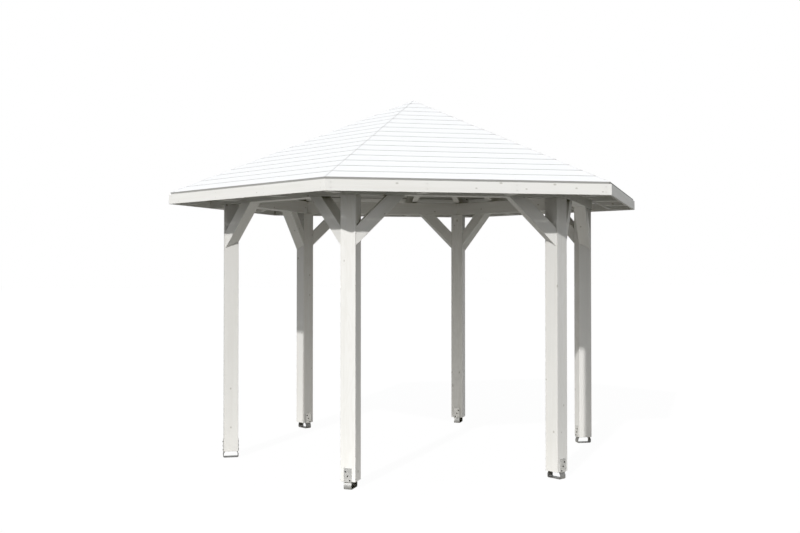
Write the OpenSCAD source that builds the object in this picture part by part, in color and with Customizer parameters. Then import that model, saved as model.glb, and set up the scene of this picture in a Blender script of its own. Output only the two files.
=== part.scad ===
// Six-sided garden gazebo: an open timber frame under a six-sided pitched roof.
// The origin is at the middle of the plan, on the ground, with +Z up.
// One side of the hexagon, the front, faces -Y. Millimetres.

/* [Posts] */
// Distance between the centres of two neighbouring posts, which is also the radius of their circle
post_spacing = 1620; // [1300:10:2200]
// Width of a square post
post_w = 120; // [90:5:150]
// Height of the posts' top, which carries the ring beams
post_top = 2175; // [2000:5:2600]
// Gap between the ground and the foot of a post
foot_gap = 56; // [40:1:80]

/* [Post brackets] */
// Width of the bracket's steel strap
strap_w = 60; // [50:1:80]
// Thickness of the strap
strap_t = 5; // [4:0.5:8]
// Height of the legs' top over the ground
leg_top = 159; // [140:1:200]
// How far the folded ledge under the post reaches in from the leg
ledge_in = 12; // [8:1:16]
// Height of the fold that carries the ledge
ledge_h = 26; // [20:1:32]
// Inner radius of the bends at the base
bend_r = 6; // [4:1:10]
// Radius of a screw hole in a leg
screw_hole_r = 5.5; // [3:0.5:7]
// Number of screw holes in a leg
screw_count = 3; // [2:1:4]
// Sideways step from one screw hole to the next
screw_step_x = 17; // [10:1:20]
// Height step from one screw hole to the next
screw_step_z = 32; // [20:1:36]
// Distance from the top of a leg to its upper screw hole
screw_edge = 28; // [12:1:30]
// Radius of the ground anchor's hole in the base
anchor_hole_r = 6; // [4:0.5:8]

/* [Ring beams] */
// Width of a ring beam
beam_w = 120; // [90:5:150]
// Height of a ring beam
beam_h = 120; // [100:5:160]

/* [Braces] */
// Width of a knee brace, square to the side of the gazebo
brace_w = 100; // [80:5:110]
// Depth of a knee brace, in the plane of the side
brace_d = 100; // [80:5:120]
// How far the brace's lower edge reaches down the post from the beam
brace_drop = 377; // [300:1:500]
// Set-back of the brace from the outer face of the beam
brace_setback = 7; // [2:1:20]

/* [Roof] */
// Pitch of the roof, in degrees
roof_pitch = 25; // [18:1:35]
// Width of a rafter
rafter_w = 60; // [45:1:80]
// Depth of a jack rafter, square to its length
rafter_d = 150; // [120:1:180]
// Depth of a hip rafter under the ridge of its bevelled top, square to its length
hip_d = 160; // [140:1:200]
// Depth of the notch where a rafter sits over the outer face of the beam
rafter_heel = 40; // [25:1:60]
// Distance of a jack rafter from the middle of its side
jack_offset = 335; // [250:5:450]
// Reach of the rafter tails past the beams' outer face
overhang = 356; // [250:1:450]
// Thickness of the roof boards
board_t = 19; // [16:0.5:28]
// Thickness of a fascia board
fascia_t = 18; // [15:0.5:28]
// Height of a fascia board
fascia_h = 82; // [70:1:120]
// Width across the flats of the hexagonal block that joins the hip rafters
king_w = 120; // [110:1:180]
// Height of the king block's underside below the hip rafters' underside
king_drop = 25; // [0:1:60]

/* [Hidden] */
SIDES = 6;
TURN = 360 / SIDES;
HALF = TURN / 2;
BIG = 4 * post_spacing;
BEND_STEPS = 6;

// Corner k of the hexagon is at this angle. Side k runs from corner k to corner k + 1.
FIRST_CORNER = -120;
function corner_angle(k) = FIRST_CORNER + k * TURN;
function side_angle(k) = corner_angle(k) + HALF;

// A side's outer faces, as distances from the middle of the plan
flush_a = post_spacing * cos(HALF) + post_w / 2 * (cos(HALF) + sin(HALF));
beam_in_a = flush_a - beam_w;
brace_out_a = flush_a - brace_setback;
brace_in_a = brace_out_a - brace_w;
tail_a = flush_a + overhang;
fascia_a = tail_a + fascia_t;
board_a = tail_a + board_t * sin(roof_pitch);

// Heights over the middle of the plan of the sloping planes, which fall by SLOPE along a side's
// middle and by HIP_SLOPE along a corner
SLOPE = tan(roof_pitch);
HIP_SLOPE = SLOPE * cos(HALF);
beam_top = post_top + beam_h;
jack_low = beam_top - rafter_heel + SLOPE * flush_a;
rafter_high = jack_low + rafter_d / cos(roof_pitch);
hip_low = rafter_high - hip_d * sqrt(1 + HIP_SLOPE * HIP_SLOPE);
roof_high = rafter_high + board_t / cos(roof_pitch);
fascia_top = rafter_high - SLOPE * tail_a;
fascia_low = fascia_top - fascia_h;

CORNERS = ["front_left", "front_right", "right", "back_right", "back_left", "left"];
// A bracket may be set either way round, which mirrors the diagonal of its screws
BRACKET_TURNS = [0, 180, 0, 0, 180, 0];
FACES = ["front", "front_right", "back_right", "back", "back_left", "front_left"];

// Turns a shape that points along +X so that it points at the given angle
module facing(angle) {
    rotate([0, 0, angle]) children();
}

// Extrudes an outline drawn in (distance from the middle, height), centred across that direction
module upright(width) {
    rotate([90, 0, 0])
        linear_extrude(height = width, center = true) children();
}

// Part of the plan that belongs to one side, out to distance a, as a tall wedge along +X
module side_wedge(a) {
    linear_extrude(height = BIG)
        polygon([[0, 0], [a, -a * tan(HALF)], [a, a * tan(HALF)]]);
}

// Everything below the roof boards on the side that faces +X
module below_boards() {
    upright(BIG)
        polygon([
            [-BIG, -BIG], [BIG, -BIG],
            [BIG, rafter_high - SLOPE * BIG], [-BIG, rafter_high + SLOPE * BIG]
        ]);
}

// Plan of the ring between two distances from the middle, for the side that faces +X
module mitred_strip(a_in, a_out) {
    polygon([
        [a_in, -a_in * tan(HALF)], [a_out, -a_out * tan(HALF)],
        [a_out, a_out * tan(HALF)], [a_in, a_in * tan(HALF)]
    ]);
}

// Six ring beams as one body, to cut the rafters' seats
module ring_space() {
    for (k = [0 : SIDES - 1])
        facing(side_angle(k))
            translate([0, 0, post_top])
                linear_extrude(height = beam_h)
                    mitred_strip(beam_in_a, flush_a);
}

module post() {
    translate([post_spacing - post_w / 2, -post_w / 2, foot_gap])
        cube([post_w, post_w, post_top - foot_gap]);
}

// Turns a path into the outline of a strap of thickness t on the path's left
function along(a, b) = (b - a) / norm(b - a);
function left_of(v) = [-v.y, v.x];
function mitre(a, b, c, t) =
    let (n = left_of(along(a, b)), m = left_of(along(b, c)))
    b + t * (n + m) / (1 + n * m);
function strap_outline(path, t) =
    let (last = len(path) - 1)
    concat(
        path,
        [path[last] + t * left_of(along(path[last - 1], path[last]))],
        [for (i = [last - 1 : -1 : 1]) mitre(path[i - 1], path[i], path[i + 1], t)],
        [path[0] + t * left_of(along(path[0], path[1]))]
    );

// Inner face of the strap's +X half, from the top of the leg to the start of the base
function half_strap() = concat(
    [
        [post_w / 2, leg_top],
        [post_w / 2, foot_gap],
        [post_w / 2 - ledge_in, foot_gap],
        [post_w / 2, foot_gap - ledge_h]
    ],
    [
        for (i = [0 : BEND_STEPS])
            let (angle = -90 * i / BEND_STEPS)
            [post_w / 2 - bend_r + bend_r * cos(angle), strap_t + bend_r + bend_r * sin(angle)]
    ]
);

// Bent steel shoe, with legs on the post's outer and inner faces and folded ledges under it.
// Its screw holes run on a diagonal, through both legs in line.
module bracket(turn) {
    right = half_strap();
    left = [for (i = [len(right) - 1 : -1 : 0]) [-right[i].x, right[i].y]];
    translate([post_spacing, 0, 0]) facing(turn) difference() {
        upright(strap_w)
            polygon(strap_outline(concat(right, left), strap_t));
        for (i = [0 : screw_count - 1])
            translate([
                0,
                (i - (screw_count - 1) / 2) * screw_step_x,
                leg_top - screw_edge - i * screw_step_z
            ])
                rotate([0, 90, 0])
                    cylinder(r = screw_hole_r, h = 2 * post_w, center = true, $fn = 32);
        translate([0, 0, -strap_t])
            cylinder(r = anchor_hole_r, h = 3 * strap_t, $fn = 32);
    }
}

module beam() {
    translate([0, 0, post_top])
        linear_extrude(height = beam_h) mitred_strip(beam_in_a, flush_a);
}

// Lower edge of a brace meets the beam and the post's outer corner at 45 degrees
corner_s = post_spacing / 2 - post_w / 2 * (cos(HALF) - sin(HALF));
brace_s = corner_s - brace_setback * tan(HALF);
brace_depth_run = brace_d * sqrt(2);

// Knee brace at the +Y end of the side that faces +X, cut against the post and the beam
module brace() {
    difference() {
        translate([brace_in_a, 0, 0])
            rotate([90, 0, 90])
                linear_extrude(height = brace_w)
                    polygon([
                        [brace_s - brace_drop, post_top],
                        [brace_s + brace_w, post_top - brace_drop - brace_w],
                        [brace_s + brace_w, post_top - brace_drop - brace_w + brace_depth_run],
                        [brace_s - brace_drop + brace_depth_run, post_top]
                    ]);
        facing(HALF)
            translate([0, -post_w / 2, 0])
                cube([BIG, BIG, BIG]);
    }
}

module braces() {
    brace();
    mirror([0, 1, 0]) brace();
}

module hip_rafter() {
    intersection() {
        difference() {
            upright(rafter_w)
                polygon([
                    [king_w / 2, hip_low - HIP_SLOPE * king_w / 2],
                    [(hip_low - fascia_low) / HIP_SLOPE, fascia_low],
                    [BIG, fascia_low],
                    [BIG, roof_high],
                    [king_w / 2, roof_high]
                ]);
            facing(-corner_angle(0)) ring_space();
        }
        facing(HALF) below_boards();
        facing(-HALF) below_boards();
        linear_extrude(height = BIG)
            circle(r = tail_a / cos(HALF), $fn = SIDES);
    }
}

// Jack rafter at the +Y end of the side that faces +X, cut against the hip rafter's side
module jack_rafter() {
    near = jack_offset - rafter_w / 2;
    far = jack_offset + rafter_w / 2;
    difference() {
        intersection() {
            translate([0, jack_offset, 0])
                upright(rafter_w)
                    polygon([
                        [0, jack_low],
                        [(jack_low - fascia_low) / SLOPE, fascia_low],
                        [tail_a, fascia_low],
                        [tail_a, fascia_top],
                        [0, rafter_high]
                    ]);
            linear_extrude(height = BIG)
                polygon([
                    [(rafter_w / 2 + near * cos(HALF)) / sin(HALF), near],
                    [tail_a, near],
                    [tail_a, far],
                    [(rafter_w / 2 + far * cos(HALF)) / sin(HALF), far]
                ]);
        }
        facing(-side_angle(0)) ring_space();
    }
}

module jack_rafters(sides) {
    for (k = sides)
        facing(side_angle(k)) {
            jack_rafter();
            mirror([0, 1, 0]) jack_rafter();
        }
}

// The lowest board's edge is square to the slope, over the fascia's inner face
module roof_boards() {
    intersection() {
        upright(BIG)
            polygon([
                [0, rafter_high],
                [tail_a, fascia_top],
                [board_a, roof_high - SLOPE * board_a],
                [0, roof_high]
            ]);
        side_wedge(board_a);
    }
}

module fascia() {
    translate([0, 0, fascia_low])
        linear_extrude(height = fascia_h) mitred_strip(tail_a, fascia_a);
}

// Hexagonal block under the peak, with a flat face towards each hip rafter
module king_block() {
    intersection() {
        translate([0, 0, hip_low - HIP_SLOPE * king_w / 2 - king_drop])
            facing(side_angle(0))
                linear_extrude(height = BIG)
                    circle(r = king_w / 2 / cos(HALF), $fn = SIDES);
        intersection_for(k = [0 : SIDES - 1])
            facing(side_angle(k)) below_boards();
    }
}

for (k = [0 : SIDES - 1]) {
    color("whitesmoke") facing(corner_angle(k)) post();
    color("silver") facing(corner_angle(k)) bracket(turn = BRACKET_TURNS[k]);
    color("gainsboro") facing(side_angle(k)) beam();
    color("whitesmoke") facing(side_angle(k)) braces();
    color("gainsboro") facing(corner_angle(k)) hip_rafter();
    color("white") facing(side_angle(k)) roof_boards();
    color("whitesmoke") facing(side_angle(k)) fascia();
}
color("gainsboro") jack_rafters([5, 0, 1]);  // jack_rafters_front
color("gainsboro") jack_rafters([2, 3, 4]);  // jack_rafters_back
color("gainsboro") king_block();
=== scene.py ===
"""Looks of a six-sided garden gazebo in white-glazed timber on galvanised post brackets.

Metres, in the CAD frame: +Z up, origin at the middle of the plan on the ground, and one side of
the hexagon, the front, facing -Y. The CAD timber and brackets keep their shape and get eased edges
and materials. The roof surfaces are replaced by tongue and groove boards, and fixings are added.
"""
import itertools
import math
import random

import bmesh
import bpy
from mathutils import Matrix, Vector


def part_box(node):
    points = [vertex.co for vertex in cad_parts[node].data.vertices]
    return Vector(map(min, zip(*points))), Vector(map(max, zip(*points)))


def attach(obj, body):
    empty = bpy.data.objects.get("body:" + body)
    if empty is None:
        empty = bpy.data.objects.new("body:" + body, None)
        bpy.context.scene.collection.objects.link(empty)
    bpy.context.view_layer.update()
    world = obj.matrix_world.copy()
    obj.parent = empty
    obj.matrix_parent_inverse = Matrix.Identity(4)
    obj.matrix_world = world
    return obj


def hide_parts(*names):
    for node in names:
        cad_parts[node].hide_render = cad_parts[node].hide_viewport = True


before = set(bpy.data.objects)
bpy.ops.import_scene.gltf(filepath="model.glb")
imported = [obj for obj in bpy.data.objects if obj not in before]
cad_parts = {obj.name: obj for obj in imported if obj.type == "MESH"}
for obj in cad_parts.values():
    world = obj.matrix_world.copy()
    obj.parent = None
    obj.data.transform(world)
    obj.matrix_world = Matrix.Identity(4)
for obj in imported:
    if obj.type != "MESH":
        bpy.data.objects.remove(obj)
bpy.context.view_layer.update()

# ---------------------------------------------------------------- sizes read from the frame
SIDES = 6
TURN = math.tau / SIDES
HALF = TURN / 2
FIRST_CORNER = -2 * TURN
CORNERS = ["front_left", "front_right", "right", "back_right", "back_left", "left"]
FACES = ["front", "front_right", "back_right", "back", "back_left", "front_left"]
NEAR = 1e-5


def edge_height(node_name):
    """Highest point of a front roof node at its outer edge."""
    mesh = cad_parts[node_name].data
    outer = min(v.co.y for v in mesh.vertices)
    return max(v.co.z for v in mesh.vertices if v.co.y < outer + NEAR)


def offset_in_front(node_name):
    """Distance to the right of the front's middle at which a node's piece stands there."""
    places = [v.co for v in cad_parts[node_name].data.vertices]
    across = [place.x for place in places if 0 < place.x < -place.y * math.tan(HALF)]
    return (min(across) + max(across)) / 2


roof_low, roof_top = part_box("roof_boards_front")
fascia_low, fascia_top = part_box("fascia_front")
post_low, post_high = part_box("post_right")
bracket_low, bracket_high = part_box("bracket_right")

APEX_Z = roof_top.z
BOARD_A = -roof_low.y
TAIL_A = -fascia_top.y
FASCIA_A = -fascia_low.y
PITCH = math.atan2(APEX_Z - edge_height("roof_boards_front"), BOARD_A)
BOARD_T = (BOARD_A - TAIL_A) / math.sin(PITCH)
HIP_PITCH = math.atan(math.tan(PITCH) * math.cos(HALF))
POST_R = (post_low.x + post_high.x) / 2
POST_FOOT = post_low.z
STRAP_HALF = bracket_high.y
JACK_OFFSET = offset_in_front("jack_rafters_front")
SLOPE_LENGTH = BOARD_A / math.cos(PITCH)

# ---------------------------------------------------------------- sizes of what is added
# Tongue and groove roof boards, laid from the eave up
BOARD_COVER = 0.121
BOARD_ROWS = math.ceil(SLOPE_LENGTH / BOARD_COVER)
JOINT_GAP = 0.0070
HIP_GAP = 0.0016
TOP_CHAMFER = 0.0004
UNDER_CHAMFER = 0.0025
TONGUE_LOW = 0.0065
TONGUE_HIGH = 0.0125
GROOVE_DEPTH = 0.009
TONGUE_SLACK = 0.0005
EAVE_CHAMFER = 0.002

# Eased edges of the CAD pieces
POST_EASE = 0.003
FRAME_EASE = 0.003
FASCIA_EASE = 0.0016
STEEL_EASE = 0.0007
EASE_SEGMENTS = 2
FLAT_DEGREES = 0.5

# Painted light and shade: how much lighter or darker the glaze is on each post than on the rest of
# the frame, standing in for how much light falls on each post
POST_PAINTED_LIGHT_TONES = {
    "front_left": 1.04, "front_right": 0.94, "right": 1.0,
    "back_right": 1.04, "back_left": 0.94, "left": 0.92,
}

# Screws in the brackets' legs, on the diagonals of their holes
LEG_SCREWS = 3
LEG_SCREW_EDGE = 0.028
LEG_SCREW_STEP_Z = 0.032
LEG_SCREW_STEP_X = 0.017
TURNED_BRACKETS = ["front_right", "back_left"]

# Screws in the fascia: heights as shares of its depth, and the distance from the mitres
FASCIA_SCREW_SHARES = (0.28, 0.74)
FASCIA_SCREW_INSET = 0.045

# Nails in the roof boards, each a little off its line
NAIL_SPREAD = 0.030
NAIL_HIP_INSET = 0.022
NAIL_HIP_LEAST = 0.04
NAIL_JACK_START = 0.12
NAIL_STRAY = 0.003
NAIL_LIFT = 0.0002
NAIL_SEED = 11


# ---------------------------------------------------------------- small helpers
def corner_angle(k):
    return FIRST_CORNER + k * TURN


def side_angle(k):
    return corner_angle(k) + HALF


def facing(angle):
    """Turns what is drawn towards +X so that it faces the given angle."""
    return Matrix.Rotation(angle, 4, "Z")


def new_piece(name, bm, material):
    """Links a mesh piece that rides with the object, with the given material."""
    mesh = bpy.data.meshes.new(name)
    bmesh.ops.recalc_face_normals(bm, faces=bm.faces)
    bm.to_mesh(mesh)
    bm.free()
    piece = bpy.data.objects.new(name, mesh)
    bpy.context.scene.collection.objects.link(piece)
    mesh.materials.append(material)
    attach(piece, "root")
    return piece


# ---------------------------------------------------------------- node graph helpers
class Graph:
    """Short calls for building a node tree from left to right."""

    def __init__(self, tree):
        self.tree = tree

    def node(self, kind, settings=None, inputs=None):
        made = self.tree.nodes.new(kind)
        for key, value in (settings or {}).items():
            setattr(made, key, value)
        for key, value in (inputs or {}).items():
            self.put(made.inputs[key], value)
        return made

    def put(self, socket, value):
        if isinstance(value, bpy.types.NodeSocket):
            self.tree.links.new(value, socket)
        else:
            socket.default_value = value

    def math(self, operation, *values):
        made = self.node("ShaderNodeMath", {"operation": operation})
        for socket, value in zip(made.inputs, values):
            self.put(socket, value)
        return made.outputs[0]

    def vector(self, operation, *values):
        made = self.node("ShaderNodeVectorMath", {"operation": operation})
        for socket, value in zip(made.inputs, values):
            self.put(socket, value)
        return made

    def dot(self, a, b):
        return self.vector("DOT_PRODUCT", a, b).outputs["Value"]

    def split(self, vector):
        return self.node("ShaderNodeSeparateXYZ", inputs={0: vector}).outputs

    def join(self, x, y, z):
        return self.node("ShaderNodeCombineXYZ", inputs={0: x, 1: y, 2: z}).outputs[0]

    def noise(self, vector, scale, detail, roughness):
        made = self.node(
            "ShaderNodeTexNoise",
            inputs={"Vector": vector, "Scale": scale, "Detail": detail, "Roughness": roughness},
        )
        return made.outputs["Fac"]

    def range(self, value, low, high, to_low=0.0, to_high=1.0):
        """Smooth step from one range of values to another."""
        made = self.node(
            "ShaderNodeMapRange",
            {"interpolation_type": "SMOOTHSTEP"},
            {"Value": value, "From Min": low, "From Max": high},
        )
        self.put(made.inputs["To Min"], to_low)
        self.put(made.inputs["To Max"], to_high)
        return made.outputs["Result"]

    def mix(self, share, a, b):
        made = self.node("ShaderNodeMix", {"data_type": "RGBA"})
        self.put(made.inputs["Factor"], share)
        self.put(made.inputs["A"], a)
        self.put(made.inputs["B"], b)
        return made.outputs["Result"]


def colour(red, green, blue):
    return (red, green, blue, 1.0)


# ---------------------------------------------------------------- timber
# Directions are in a piece's own sector of the hexagon: (out from the middle, sideways, up)
UP = (0, 0, 1)
OUT = (1, 0, 0)
SIDEWAYS = (0, 1, 0)
SLOPE_DOWN = (math.cos(PITCH), 0, -math.sin(PITCH))
SLOPE_NORMAL = (math.sin(PITCH), 0, math.cos(PITCH))
HIP_DOWN = (math.cos(HIP_PITCH), 0, -math.sin(HIP_PITCH))
HIP_NORMAL = (math.sin(HIP_PITCH), 0, math.cos(HIP_PITCH))
BRACE_ALONG = (0, math.sqrt(0.5), -math.sqrt(0.5))
BRACE_ACROSS = (0, math.sqrt(0.5), math.sqrt(0.5))

# The glaze, from where it lies thick to where the wood shows
GLAZE_WHITE = colour(0.735, 0.729, 0.712)
GLAZE_THIN = colour(0.655, 0.644, 0.614)
GLAZE_PATCH = colour(0.70, 0.70, 0.69)
KNOT_RIM = colour(0.50, 0.485, 0.445)
KNOT_CORE = colour(0.38, 0.365, 0.335)
TONE_SPREAD = 0.035
SEED_SHIFT = (1.731, 0.917, 1.303)

# Knots: cells in a metre, slant, share of cells without one, and radius in cells
KNOTS_ALONG = 5.2
KNOTS_ACROSS = 9.0
KNOT_SLANT = 0.7
KNOT_NONE = 0.68
KNOT_RADIUS = 0.030
KNOT_RADIUS_SPREAD = 0.040
KNOT_PUSH = 0.006
# Where the core, the rim and the pushed grain fade, in knot radii
KNOT_CORE_FADE = (1.05, 0.55)
KNOT_RIM_FADE = (1.5, 1.0)
KNOT_PUSH_FADE = (4.5, 0.8)

# Growth rings and fibres: how fine the pattern is along the grain and across it
RING_WIDTH = 0.0052
RING_SHARPNESS = 2.2
RING_WANDER = 0.055
PITH_REACH = 0.09
WANDER_GRAIN = (0.9, 5.0, 5.0)
FIBRE_GRAIN = (5.0, 190.0, 190.0)
STREAK_GRAIN = (1.1, 26.0, 26.0)

# Roof boards: whiter and bluer on top and edges as painted light from the sun and sky, grey at the
# joints, the eave and the mitres
ROOF_TOP_PAINTED_LIGHT = colour(0.81, 0.815, 0.83)
EAVE_GREY = colour(0.42, 0.415, 0.40)
JOINT_GREY = colour(0.30, 0.296, 0.285)
HIP_GREY = colour(0.44, 0.435, 0.42)
HIP_WEAR = 0.005
EDGE_BLEND = 0.0004


def sector_group():
    """Folds a position into the sector of the hexagon it is in.

    Gives (out, sideways, up) in that sector, and the sector's number."""
    tree = bpy.data.node_groups.new("hexagon_sector", "ShaderNodeTree")
    tree.interface.new_socket("First", in_out="INPUT", socket_type="NodeSocketFloat")
    tree.interface.new_socket("Local", in_out="OUTPUT", socket_type="NodeSocketVector")
    tree.interface.new_socket("Number", in_out="OUTPUT", socket_type="NodeSocketFloat")
    graph = Graph(tree)
    first = graph.node("NodeGroupInput").outputs["First"]
    place = graph.node("ShaderNodeTexCoord").outputs["Object"]
    x, y, _ = graph.split(place)
    angle = graph.math("SUBTRACT", graph.math("ARCTAN2", y, x), first)
    number = graph.math("ROUND", graph.math("DIVIDE", angle, TURN))
    back = graph.math("MULTIPLY", graph.math("MULTIPLY_ADD", number, TURN, first), -1.0)
    turned = graph.node(
        "ShaderNodeVectorRotate",
        {"rotation_type": "Z_AXIS"},
        {"Vector": place, "Angle": back},
    )
    out = graph.node("NodeGroupOutput")
    graph.put(out.inputs["Local"], turned.outputs[0])
    graph.put(out.inputs["Number"], graph.math("FLOORED_MODULO", number, float(SIDES)))
    return tree


def knots(graph, along, across, deep, shift):
    """Knots run on a slant, so that they are round or oval on every long face.

    Gives the shares of their core, their rim and the grain that they push aside."""
    slant = graph.math("MULTIPLY_ADD", deep, KNOT_SLANT, across)
    cell_along = graph.math("MULTIPLY", along, KNOTS_ALONG)
    cell_across = graph.math("MULTIPLY", slant, KNOTS_ACROSS)
    cells = graph.vector("ADD", graph.join(cell_along, cell_across, 0.0), shift).outputs[0]
    knot = graph.node(
        "ShaderNodeTexVoronoi",
        {"voronoi_dimensions": "2D"},
        {"Vector": cells, "Scale": 1.0, "Randomness": 0.9},
    )
    red, green, _ = graph.split(knot.outputs["Color"])
    picked = graph.math("GREATER_THAN", red, KNOT_NONE)
    radius = graph.math("MULTIPLY_ADD", green, KNOT_RADIUS_SPREAD, KNOT_RADIUS)
    reach = graph.math("DIVIDE", knot.outputs["Distance"], radius)
    fades = (KNOT_CORE_FADE, KNOT_RIM_FADE, KNOT_PUSH_FADE)
    return [graph.math("MULTIPLY", graph.range(reach, *fade), picked) for fade in fades]


def growth_rings(graph, grain, across, deep, seed, pushed):
    """Rings about a pith that wanders, pushed aside by the knots."""
    stretched = graph.vector("MULTIPLY", grain, WANDER_GRAIN).outputs[0]
    wander = graph.noise(stretched, 1.6, 3.0, 0.55)
    pith_y = graph.math("SINE", graph.math("MULTIPLY_ADD", seed, 2.7, 0.4))
    pith_z = graph.math("COSINE", graph.math("MULTIPLY_ADD", seed, 1.9, 1.1))
    from_pith_y = graph.math("MULTIPLY_ADD", pith_y, PITH_REACH, across)
    from_pith_z = graph.math("MULTIPLY_ADD", pith_z, PITH_REACH, deep)
    pith = graph.vector("LENGTH", graph.join(0.0, from_pith_y, from_pith_z)).outputs["Value"]
    bent = graph.math("MULTIPLY_ADD", wander, RING_WANDER, pith)
    bent = graph.math("MULTIPLY_ADD", pushed, KNOT_PUSH, bent)
    turns = graph.math("MULTIPLY", bent, math.tau / RING_WIDTH)
    ring = graph.math("MULTIPLY_ADD", graph.math("SINE", turns), 0.5, 0.5)
    return graph.math("POWER", ring, RING_SHARPNESS)


def glaze_group():
    """White-glazed spruce as a solid texture. X of the grain coordinate runs along the grain."""
    tree = bpy.data.node_groups.new("glazed_spruce", "ShaderNodeTree")
    tree.interface.new_socket("Grain", in_out="INPUT", socket_type="NodeSocketVector")
    tree.interface.new_socket("Seed", in_out="INPUT", socket_type="NodeSocketFloat")
    tree.interface.new_socket("Colour", in_out="OUTPUT", socket_type="NodeSocketColor")
    tree.interface.new_socket("Roughness", in_out="OUTPUT", socket_type="NodeSocketFloat")
    tree.interface.new_socket("Height", in_out="OUTPUT", socket_type="NodeSocketFloat")
    graph = Graph(tree)
    given = graph.node("NodeGroupInput").outputs
    seed = given["Seed"]
    shift = graph.vector("SCALE", graph.join(*SEED_SHIFT)).outputs[0]
    graph.put(shift.node.inputs["Scale"], seed)
    grain = graph.vector("ADD", given["Grain"], shift).outputs[0]
    along, across, deep = graph.split(given["Grain"])
    core, rim, pushed = knots(graph, along, across, deep, shift)
    ring = growth_rings(graph, grain, across, deep, seed, pushed)

    # Fine fibres and the patchy glaze
    fibre_place = graph.vector("MULTIPLY", grain, FIBRE_GRAIN).outputs[0]
    streak_place = graph.vector("MULTIPLY", grain, STREAK_GRAIN).outputs[0]
    fibre = graph.noise(fibre_place, 1.0, 3.0, 0.6)
    streak = graph.noise(streak_place, 1.0, 3.0, 0.6)
    patch = graph.noise(grain, 2.4, 2.0, 0.5)
    tone = graph.node("ShaderNodeTexWhiteNoise", {"noise_dimensions": "1D"}, {"W": seed})
    lift = graph.math("MULTIPLY_ADD", tone.outputs["Value"], TONE_SPREAD, 1.0 - TONE_SPREAD)

    wood = graph.mix(graph.math("MULTIPLY", ring, 0.30), GLAZE_WHITE, GLAZE_THIN)
    wood = graph.mix(graph.range(streak, 0.42, 0.72, 0.0, 0.40), wood, GLAZE_THIN)
    wood = graph.mix(graph.range(fibre, 0.50, 0.80, 0.0, 0.22), wood, GLAZE_THIN)
    wood = graph.mix(graph.range(patch, 0.35, 0.75, 0.0, 0.16), wood, GLAZE_PATCH)
    wood = graph.mix(graph.math("MULTIPLY", rim, 0.32), wood, KNOT_RIM)
    wood = graph.mix(graph.math("MULTIPLY", core, 0.55), wood, KNOT_CORE)
    lifted = graph.vector("SCALE", wood)
    graph.put(lifted.inputs["Scale"], lift)

    rough = graph.math("MULTIPLY_ADD", streak, 0.16, 0.46)
    height = graph.math("MULTIPLY", ring, -0.25)
    height = graph.math("MULTIPLY_ADD", fibre, 0.55, height)
    height = graph.math("MULTIPLY_ADD", core, -0.5, height)
    out = graph.node("NodeGroupOutput")
    graph.put(out.inputs["Colour"], lifted.outputs[0])
    graph.put(out.inputs["Roughness"], rough)
    graph.put(out.inputs["Height"], height)
    return tree


def board_painted_light_and_edges(graph, wood, depth, from_eave, from_hip):
    """Roof boards' colour: whiter and bluer everywhere but underneath, as painted light from the
    sun and sky, and grey where the sawn edges and ends show.

    depth: under the boards' top. from_eave: up the slope from the boards' lowest edge.
    from_hip: sideways from the mitres."""
    # Painted light: the boards are whiter and bluer everywhere but on the underside, standing in
    # for sun and sky on the roof
    painted_top_light = graph.range(depth, BOARD_T - EDGE_BLEND, BOARD_T, 0.85, 0.0)
    wood = graph.mix(painted_top_light, wood, ROOF_TOP_PAINTED_LIGHT)
    wood = graph.mix(graph.range(from_hip, HIP_WEAR, 0.0, 0.0, 0.9), wood, HIP_GREY)
    top = graph.range(depth, 0.0, EDGE_BLEND, 0.0, 1.0)
    under = graph.range(depth, BOARD_T - EDGE_BLEND, BOARD_T, 1.0, 0.0)
    edge = graph.math("MULTIPLY", graph.math("MULTIPLY", top, under), 0.85)
    grey = graph.mix(graph.range(from_eave, 0.004, 0.008), EAVE_GREY, JOINT_GREY)
    return graph.mix(edge, wood, grey)


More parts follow.
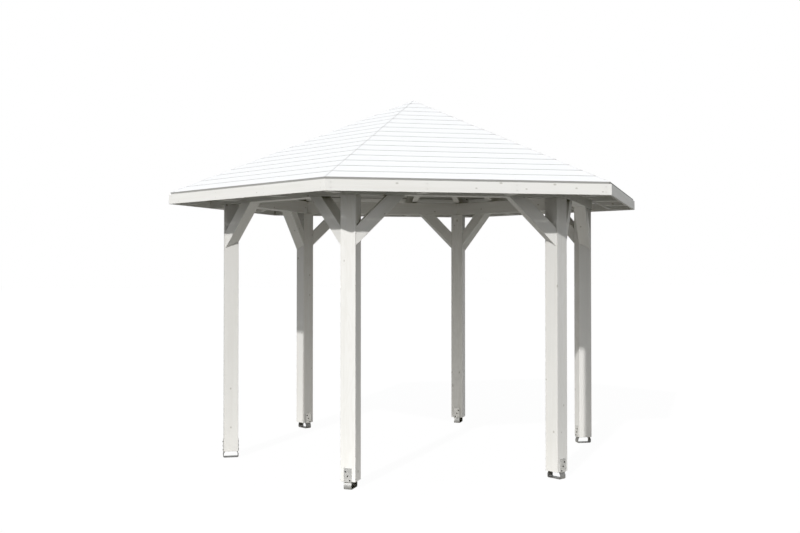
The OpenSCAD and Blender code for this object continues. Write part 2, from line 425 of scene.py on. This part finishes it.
def timber(name, at_corner, along, across, deep, mirrored=False, board=None, white=1.0):
    """Material for timber whose grain runs along a direction of its sector.

    mirrored: the sector holds a pair of pieces, one on each side of its middle.
    board: width of the boards that share the sector, counted across the grain.
    white: how much lighter the glaze is than on the frame; on the posts this is painted light and
    shade."""
    material = bpy.data.materials.new(name)
    material.use_nodes = True
    graph = Graph(material.node_tree)
    graph.tree.nodes.clear()
    sector = graph.node("ShaderNodeGroup", {"node_tree": SECTOR})
    sector.inputs["First"].default_value = 0.0 if at_corner else HALF
    local = sector.outputs["Local"]
    seed = graph.math("MULTIPLY_ADD", sector.outputs["Number"], 2.37, next(KIND_SEEDS))
    if mirrored:
        side = graph.math("SIGN", graph.split(local)[1])
        seed = graph.math("MULTIPLY_ADD", side, 0.83, seed)
        local = graph.vector("ABSOLUTE", local).outputs[0]
    x, y, z = graph.dot(local, along), graph.dot(local, across), graph.dot(local, deep)
    if board:
        from_eave = graph.math("SUBTRACT", SLOPE_LENGTH, y)
        count = graph.math("FLOOR", graph.math("DIVIDE", from_eave, board))
        seed = graph.math("MULTIPLY_ADD", count, 5.19, seed)
    glaze = graph.node("ShaderNodeGroup", {"node_tree": GLAZE})
    graph.put(glaze.inputs["Grain"], graph.join(x, y, z))
    graph.put(glaze.inputs["Seed"], seed)
    bump = graph.node(
        "ShaderNodeBump",
        inputs={"Strength": 0.35, "Distance": 0.0008, "Height": glaze.outputs["Height"]},
    )
    lifted = graph.vector("SCALE", glaze.outputs["Colour"])
    lifted.inputs["Scale"].default_value = white
    tone = lifted.outputs[0]
    if board:
        depth = graph.math("SUBTRACT", APEX_Z * math.cos(PITCH), z)
        out, sideways, _ = graph.split(local)
        mitre = graph.math("MULTIPLY", out, math.tan(HALF))
        from_hip = graph.math("SUBTRACT", mitre, graph.math("ABSOLUTE", sideways))
        tone = board_painted_light_and_edges(graph, tone, depth, from_eave, from_hip)
    shader = graph.node("ShaderNodeBsdfPrincipled")
    graph.put(shader.inputs["Base Color"], tone)
    graph.put(shader.inputs["Roughness"], glaze.outputs["Roughness"])
    graph.put(shader.inputs["Normal"], bump.outputs[0])
    shader.inputs["Specular IOR Level"].default_value = 0.5
    out = graph.node("ShaderNodeOutputMaterial")
    graph.put(out.inputs["Surface"], shader.outputs[0])
    return material


# ---------------------------------------------------------------- metal
SPANGLES = 170.0
CLOUD_GREY = colour(0.45, 0.45, 0.44)
# Painted shade under the posts' feet, and the cut edges' grey, which deepens there
STRAP_PAINTED_SHADE_GREY = colour(0.20, 0.20, 0.195)
CUT_EDGE_AND_SHADE_GREY = colour(0.06, 0.06, 0.058)
STRAP_PAINTED_SHADE_SHARE = 0.75
CUT_SHARE = 0.25


def steel(name, base, spangle, metallic, roughness, strap=False):
    """Hot-dip galvanised steel: soft spangles and streaks.

    strap: with painted shade below the posts' feet, where the loop lies in shade under the post,
    and dark cut edges that are darkest there, in that painted shade."""
    material = bpy.data.materials.new(name)
    material.use_nodes = True
    graph = Graph(material.node_tree)
    graph.tree.nodes.clear()
    place = graph.node("ShaderNodeTexCoord").outputs["Object"]
    cell = graph.node("ShaderNodeTexVoronoi", inputs={"Vector": place, "Scale": SPANGLES})
    tone, _, _ = graph.split(cell.outputs["Color"])
    cloud = graph.noise(place, 28.0, 4.0, 0.6)
    mixed = graph.mix(graph.range(tone, 0.0, 1.0, 0.0, 0.55), base, spangle)
    mixed = graph.mix(graph.range(cloud, 0.40, 0.75, 0.0, 0.30), mixed, CLOUD_GREY)
    rough = graph.math("MULTIPLY_ADD", tone, 0.08, roughness)
    if strap:
        sector = graph.node("ShaderNodeGroup", {"node_tree": SECTOR})
        _, sideways, up = graph.split(sector.outputs["Local"])
        # Painted shade: the strap is darker below the posts' feet, in the loop under the post
        low = graph.range(up, POST_FOOT + 0.002, POST_FOOT - 0.004, 0.0, STRAP_PAINTED_SHADE_SHARE)
        mixed = graph.mix(low, mixed, STRAP_PAINTED_SHADE_GREY)
        rough = graph.math("MULTIPLY_ADD", low, 0.15, rough)
        sideways = graph.math("ABSOLUTE", sideways)
        # Dark cut edges: the raw cut edge, and below the feet twice as dark as painted shade
        edge = graph.range(sideways, STRAP_HALF - 0.0012, STRAP_HALF - 0.0004, 0.0, CUT_SHARE)
        edge = graph.math("MULTIPLY_ADD", low, edge, edge)
        mixed = graph.mix(edge, mixed, CUT_EDGE_AND_SHADE_GREY)
        rough = graph.math("MULTIPLY_ADD", edge, 0.3, rough)
    relief = {"Strength": 0.10, "Distance": 0.0004, "Height": cloud}
    bump = graph.node("ShaderNodeBump", inputs=relief)
    shader = graph.node("ShaderNodeBsdfPrincipled")
    graph.put(shader.inputs["Base Color"], mixed)
    graph.put(shader.inputs["Roughness"], rough)
    graph.put(shader.inputs["Normal"], bump.outputs[0])
    shader.inputs["Metallic"].default_value = metallic
    out = graph.node("ShaderNodeOutputMaterial")
    graph.put(out.inputs["Surface"], shader.outputs[0])
    return material


SECTOR = sector_group()
GLAZE = glaze_group()
KIND_SEEDS = itertools.count(3.1, 13.7)
beam_wood = timber("beam_timber", False, SIDEWAYS, UP, OUT)
brace_wood = timber("brace_timber", False, BRACE_ALONG, BRACE_ACROSS, OUT, mirrored=True)
hip_wood = timber("hip_timber", True, HIP_DOWN, HIP_NORMAL, SIDEWAYS)
jack_wood = timber("jack_timber", False, SLOPE_DOWN, SLOPE_NORMAL, SIDEWAYS, mirrored=True)
fascia_wood = timber("fascia_timber", False, SIDEWAYS, UP, OUT, white=1.07)
board_wood = timber(
    "roof_board_timber", False, SIDEWAYS, SLOPE_DOWN, SLOPE_NORMAL, board=BOARD_COVER
)
galvanised = steel(
    "galvanised_steel", colour(0.78, 0.78, 0.77), colour(0.86, 0.86, 0.85), 0.75, 0.26, strap=True
)
screw_steel = steel("screw_steel", colour(0.07, 0.07, 0.068), colour(0.11, 0.11, 0.105), 0.8, 0.42)
glazed_steel = steel("glazed_steel", colour(0.60, 0.585, 0.55), colour(0.66, 0.65, 0.62), 0.0, 0.55)


# ---------------------------------------------------------------- CAD pieces
def ease_edges(piece, width, sharp_degrees):
    """Merges the flat faces of a CAD node and rounds its edges."""
    weld = piece.modifiers.new("weld", "WELD")
    weld.merge_threshold = NEAR
    flat = piece.modifiers.new("flat_faces", "DECIMATE")
    flat.decimate_type = "DISSOLVE"
    flat.angle_limit = math.radians(FLAT_DEGREES)
    ease = piece.modifiers.new("eased_edges", "BEVEL")
    ease.width = width
    ease.segments = EASE_SEGMENTS
    ease.limit_method = "ANGLE"
    ease.angle_limit = math.radians(sharp_degrees)
    ease.use_clamp_overlap = True
    normals = piece.modifiers.new("normals", "WEIGHTED_NORMAL")
    normals.keep_sharp = False


def dress(prefix, names, material, width, sharp_degrees=25):
    """Gives a family of CAD nodes its material and its eased edges."""
    for name in names:
        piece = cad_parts[prefix + name]
        piece.data.materials.clear()
        piece.data.materials.append(material)
        ease_edges(piece, width, sharp_degrees)


def dress_cad():
    # Each post's glaze is lifted or lowered as painted light and shade
    for corner, white in POST_PAINTED_LIGHT_TONES.items():
        post_wood = timber("post_timber_" + corner, True, UP, SIDEWAYS, OUT, white=white)
        dress("post_", [corner], post_wood, POST_EASE)
    dress("beam_", FACES, beam_wood, FRAME_EASE, sharp_degrees=70)
    dress("braces_", FACES, brace_wood, FRAME_EASE)
    dress("hip_rafter_", CORNERS, hip_wood, FRAME_EASE)
    dress("jack_rafters_", ["front", "back"], jack_wood, FRAME_EASE)
    dress("fascia_", FACES, fascia_wood, FASCIA_EASE)
    dress("king_", ["block"], hip_wood, FRAME_EASE)
    dress("bracket_", CORNERS, galvanised, STEEL_EASE, sharp_degrees=50)


# ---------------------------------------------------------------- roof boards
def slope_point(down, height, sign):
    """Point of a board's end on the mitre plane of a hip, for the side that faces +X.

    down: distance down the slope from the peak. height: over the boards' underside."""
    sunk = BOARD_T - height
    out = down * math.cos(PITCH) - sunk * math.sin(PITCH)
    out = max(out, HIP_GAP)
    up = APEX_Z - down * math.sin(PITCH) - sunk * math.cos(PITCH)
    half = out * math.tan(HALF) - HIP_GAP / 2
    return Vector((out, sign * half, up))


def board_profile(upper, lower, at_eave, at_peak):
    """Outline of a board's section as (down the slope, height) pairs."""
    gap = JOINT_GAP / 2
    low = lower if at_eave else lower - gap
    outline = []
    if at_eave:
        outline += [(low - EAVE_CHAMFER, 0), (low, EAVE_CHAMFER)]
        outline += [(low, BOARD_T - EAVE_CHAMFER), (low - EAVE_CHAMFER, BOARD_T)]
    else:
        outline += [(low - UNDER_CHAMFER, 0), (low, UNDER_CHAMFER), (low, TONGUE_LOW)]
        outline += [(low - GROOVE_DEPTH, TONGUE_LOW), (low - GROOVE_DEPTH, TONGUE_HIGH)]
        outline += [(low, TONGUE_HIGH), (low, BOARD_T - TOP_CHAMFER), (low - TOP_CHAMFER, BOARD_T)]
    if at_peak:
        outline += [(upper, BOARD_T), (BOARD_T * math.tan(PITCH) + upper, 0)]
    else:
        high = upper + gap
        tip = high - GROOVE_DEPTH - JOINT_GAP + 2 * TONGUE_SLACK
        outline += [(high + TOP_CHAMFER, BOARD_T), (high, BOARD_T - TOP_CHAMFER)]
        outline += [(high, TONGUE_HIGH - TONGUE_SLACK), (tip, TONGUE_HIGH - TONGUE_SLACK)]
        outline += [(tip, TONGUE_LOW + TONGUE_SLACK), (high, TONGUE_LOW + TONGUE_SLACK)]
        outline += [(high, UNDER_CHAMFER), (high + UNDER_CHAMFER, 0)]
    return outline


def add_board(bm, turn, outline):
    """Adds one board between the two hips of a side."""
    ends = []
    for sign in (-1, 1):
        ends.append([bm.verts.new(turn @ slope_point(d, h, sign)) for d, h in outline])
    left, right = ends
    count = len(outline)
    for i in range(count):
        j = (i + 1) % count
        bm.faces.new([left[i], left[j], right[j], right[i]])
    bm.faces.new(left)
    bm.faces.new(list(reversed(right)))


def make_roof_boards():
    for k, face in enumerate(FACES):
        bm = bmesh.new()
        turn = facing(side_angle(k))
        for row in range(BOARD_ROWS):
            lower = SLOPE_LENGTH - row * BOARD_COVER
            upper = max(lower - BOARD_COVER, HIP_GAP)
            outline = board_profile(upper, lower, row == 0, row == BOARD_ROWS - 1)
            add_board(bm, turn, outline)
        piece = new_piece("boards_" + face, bm, board_wood)
        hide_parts("roof_boards_" + face)


# ---------------------------------------------------------------- fixings
def add_turned(bm, place, profile, steps=16):
    """Adds a turned head: profile is (radius, height) pairs from its rim to its middle."""
    rings = []
    for radius, height in profile:
        ring = []
        for i in range(steps):
            angle = math.tau * i / steps
            point = Vector((radius * math.cos(angle), radius * math.sin(angle), height))
            ring.append(bm.verts.new(place @ point))
        rings.append(ring)
    for low, high in zip(rings, rings[1:]):
        for i in range(steps):
            j = (i + 1) % steps
            bm.faces.new([low[i], low[j], high[j], high[i]])
    bm.faces.new(rings[-1])
    bm.faces.new(list(reversed(rings[0])))


def looking(place, direction):
    """Matrix that puts a head at a place, with its top towards a direction."""
    turn = Vector(direction).to_track_quat("Z", "Y").to_matrix().to_4x4()
    return Matrix.Translation(place) @ turn


# Washer-head timber screw: a thin flange, a domed head and a sunk drive recess
WASHER_HEAD = [
    (0.0045, -0.0045), (0.0045, 0.0), (0.0060, 0.0), (0.0062, 0.0010), (0.0050, 0.0018),
    (0.0046, 0.0036), (0.0034, 0.0044), (0.0028, 0.0044), (0.0024, 0.0022), (0.0006, 0.0018),
]
# Countersunk head, a little under the wood's surface, with a drive recess
SUNK_HEAD = [
    (0.0020, -0.006), (0.0046, -0.0012), (0.0048, -0.0004), (0.0042, 0.0), (0.0022, 0.0),
    (0.0018, -0.0014), (0.0005, -0.0016),
]
# Flat nail head, driven almost flush
NAIL_HEAD = [
    (0.0012, -0.004), (0.0024, -0.0004), (0.0026, 0.0001), (0.0022, 0.0005), (0.0008, 0.0006),
]


def make_bracket_screws():
    leg_top = bracket_high.z
    leg_face = (bracket_high.x - bracket_low.x) / 2
    for k, corner in enumerate(CORNERS):
        bm = bmesh.new()
        hand = -1 if corner in TURNED_BRACKETS else 1
        for side in (-1, 1):
            for i in range(LEG_SCREWS):
                slide = (i - (LEG_SCREWS - 1) / 2) * LEG_SCREW_STEP_X * hand
                height = leg_top - LEG_SCREW_EDGE - i * LEG_SCREW_STEP_Z
                place = Vector((POST_R + side * leg_face, slide, height))
                add_turned(bm, facing(corner_angle(k)) @ looking(place, (side, 0, 0)), WASHER_HEAD)
        new_piece("bracket_screws_" + corner, bm, screw_steel)


def make_fascia_screws():
    """Two screws over each other into the tail of each jack rafter, and at the mitres."""
    top, low = fascia_top.z, fascia_low.z
    depth = top - low
    heights = [low + depth * share for share in FASCIA_SCREW_SHARES]
    edge = FASCIA_A * math.tan(HALF) - FASCIA_SCREW_INSET
    for k, face in enumerate(FACES):
        bm = bmesh.new()
        for slide in (-edge, -JACK_OFFSET, JACK_OFFSET, edge):
            for height in heights:
                place = Vector((FASCIA_A, slide, height))
                add_turned(bm, facing(side_angle(k)) @ looking(place, (1, 0, 0)), SUNK_HEAD, 12)
        new_piece("fascia_screws_" + face, bm, glazed_steel)


def nail_lines(half):
    """Sideways places of the rafters under a board that reaches half its length each way."""
    hip = half - NAIL_HIP_INSET
    lines = [-hip, hip] if hip > NAIL_HIP_LEAST else []
    if half > JACK_OFFSET + NAIL_JACK_START:
        lines += [-JACK_OFFSET, JACK_OFFSET]
    return lines


def make_roof_nails():
    """Two nails in each board over each rafter that it crosses."""
    rng = random.Random(NAIL_SEED)
    normal = Vector(SLOPE_NORMAL)
    for k, face in enumerate(FACES):
        bm = bmesh.new()
        turn = facing(side_angle(k))
        for row in range(BOARD_ROWS):
            middle = SLOPE_LENGTH - (row + 0.5) * BOARD_COVER
            for shift in (-NAIL_SPREAD, NAIL_SPREAD):
                down = middle + shift
                out = down * math.cos(PITCH)
                up = APEX_Z - down * math.sin(PITCH)
                for line in nail_lines(out * math.tan(HALF)):
                    line += rng.uniform(-NAIL_STRAY, NAIL_STRAY)
                    place = Vector((out, line, up)) + normal * NAIL_LIFT
                    add_turned(bm, turn @ looking(place, normal), NAIL_HEAD, 8)
        new_piece("roof_nails_" + face, bm, glazed_steel)


# ---------------------------------------------------------------- stage
FLOOR_HALF = 60.0
FLOOR_GLOW = 1.01
FLOOR_SHADING = 0.05
BOUNCE_UNDER = colour(0.72, 0.70, 0.66)
BOUNCE_AROUND = colour(0.21, 0.21, 0.20)
SKY_LOW = 0.76
SKY_HIGH = 0.60
SKY_TINT_LOW = colour(1.0, 0.995, 0.985)
SKY_TINT_HIGH = colour(0.93, 0.965, 1.0)
SUN_DIRECTION = (-0.476, -0.713, 0.515)
SUN_STRENGTH = 2.86
SUN_DEGREES = 1.2
SUN_COLOUR = (1.0, 0.99, 0.97)

# The camera that the photograph's perspective gives
CAMERA_PLACE = (-2.0493, -8.7512, 1.6643)
CAMERA_HEADING = 77.606
CAMERA_TILT = 0.862
CAMERA_LENS = 44.97
CAMERA_SHIFT = -0.0224
SENSOR_WIDTH = 36.0
BLACK_LEVEL = 0.05


def floor_material():
    """Plain white to the eye, with a faint share of real shading.

    The light that it sends up is stronger from under the roof than from around it."""
    material = bpy.data.materials.new("pale_floor")
    material.use_nodes = True
    graph = Graph(material.node_tree)
    graph.tree.nodes.clear()
    path = graph.node("ShaderNodeLightPath")
    white = colour(1, 1, 1)
    glow = graph.node("ShaderNodeEmission", inputs={"Color": white, "Strength": FLOOR_GLOW})
    matt = graph.node("ShaderNodeBsdfDiffuse", inputs={"Color": colour(0.9, 0.9, 0.9)})
    seen = graph.node(
        "ShaderNodeMixShader", inputs={0: FLOOR_SHADING, 1: glow.outputs[0], 2: matt.outputs[0]}
    )
    place = graph.node("ShaderNodeTexCoord").outputs["Object"]
    reach = graph.vector("LENGTH", place).outputs["Value"]
    under = graph.range(reach, POST_R, BOARD_A + POST_R / 2, 1.0, 0.0)
    shade = graph.mix(under, BOUNCE_AROUND, BOUNCE_UNDER)
    bounce = graph.node("ShaderNodeBsdfDiffuse", inputs={"Color": shade})
    both = graph.node(
        "ShaderNodeMixShader",
        inputs={0: path.outputs["Is Camera Ray"], 1: bounce.outputs[0], 2: seen.outputs[0]},
    )
    out = graph.node("ShaderNodeOutputMaterial")
    graph.put(out.inputs["Surface"], both.outputs[0])
    return material


def make_floor():
    bm = bmesh.new()
    corners = [(-1, -1), (1, -1), (1, 1), (-1, 1)]
    bm.faces.new([bm.verts.new((x * FLOOR_HALF, y * FLOOR_HALF, 0.0)) for x, y in corners])
    mesh = bpy.data.meshes.new("floor")
    bm.to_mesh(mesh)
    bm.free()
    floor = bpy.data.objects.new("floor", mesh)
    bpy.context.scene.collection.objects.link(floor)
    mesh.materials.append(floor_material())


def make_world():
    """White to the camera. As light, an even studio surround, a little dimmer overhead."""
    world = bpy.data.worlds.new("studio")
    bpy.context.scene.world = world
    world.use_nodes = True
    graph = Graph(world.node_tree)
    graph.tree.nodes.clear()
    height = graph.split(graph.node("ShaderNodeTexCoord").outputs["Generated"])[2]
    sky = graph.range(height, 0.0, 0.9, SKY_LOW, SKY_HIGH)
    tint = graph.mix(graph.range(height, 0.0, 0.8), SKY_TINT_LOW, SKY_TINT_HIGH)
    lit = graph.node("ShaderNodeBackground", inputs={"Color": tint, "Strength": sky})
    seen = graph.node("ShaderNodeBackground", inputs={"Color": colour(1, 1, 1), "Strength": 1.0})
    path = graph.node("ShaderNodeLightPath")
    both = graph.node(
        "ShaderNodeMixShader",
        inputs={0: path.outputs["Is Camera Ray"], 1: lit.outputs[0], 2: seen.outputs[0]},
    )
    out = graph.node("ShaderNodeOutputWorld")
    graph.put(out.inputs["Surface"], both.outputs[0])


def make_sun():
    data = bpy.data.lights.new("sun", "SUN")
    data.energy = SUN_STRENGTH
    data.angle = math.radians(SUN_DEGREES)
    data.color = SUN_COLOUR
    lamp = bpy.data.objects.new("sun", data)
    bpy.context.scene.collection.objects.link(lamp)
    lamp.rotation_euler = Vector(SUN_DIRECTION).to_track_quat("Z", "Y").to_euler()


def make_camera():
    data = bpy.data.cameras.new("camera")
    data.sensor_width = SENSOR_WIDTH
    data.lens = CAMERA_LENS
    data.shift_y = CAMERA_SHIFT
    camera = bpy.data.objects.new("camera", data)
    bpy.context.scene.collection.objects.link(camera)
    camera.location = CAMERA_PLACE
    heading = math.radians(CAMERA_HEADING)
    tilt = math.radians(CAMERA_TILT)
    flat = math.cos(tilt)
    look = Vector((flat * math.cos(heading), flat * math.sin(heading), math.sin(tilt)))
    camera.rotation_euler = look.to_track_quat("-Z", "Y").to_euler()
    bpy.context.scene.camera = camera


def set_colours():
    """Plain colours, with shade a little deeper than it would be."""
    view = bpy.context.scene.view_settings
    view.view_transform = "Standard"
    view.look = "None"
    view.exposure = 0.0
    view.gamma = 1.0
    view.use_curve_mapping = True
    view.curve_mapping.black_level = (BLACK_LEVEL, BLACK_LEVEL, BLACK_LEVEL)
    view.curve_mapping.update()


dress_cad()
make_roof_boards()
make_bracket_screws()
make_fascia_screws()
make_roof_nails()
make_floor()
make_world()
make_sun()
make_camera()
set_colours()
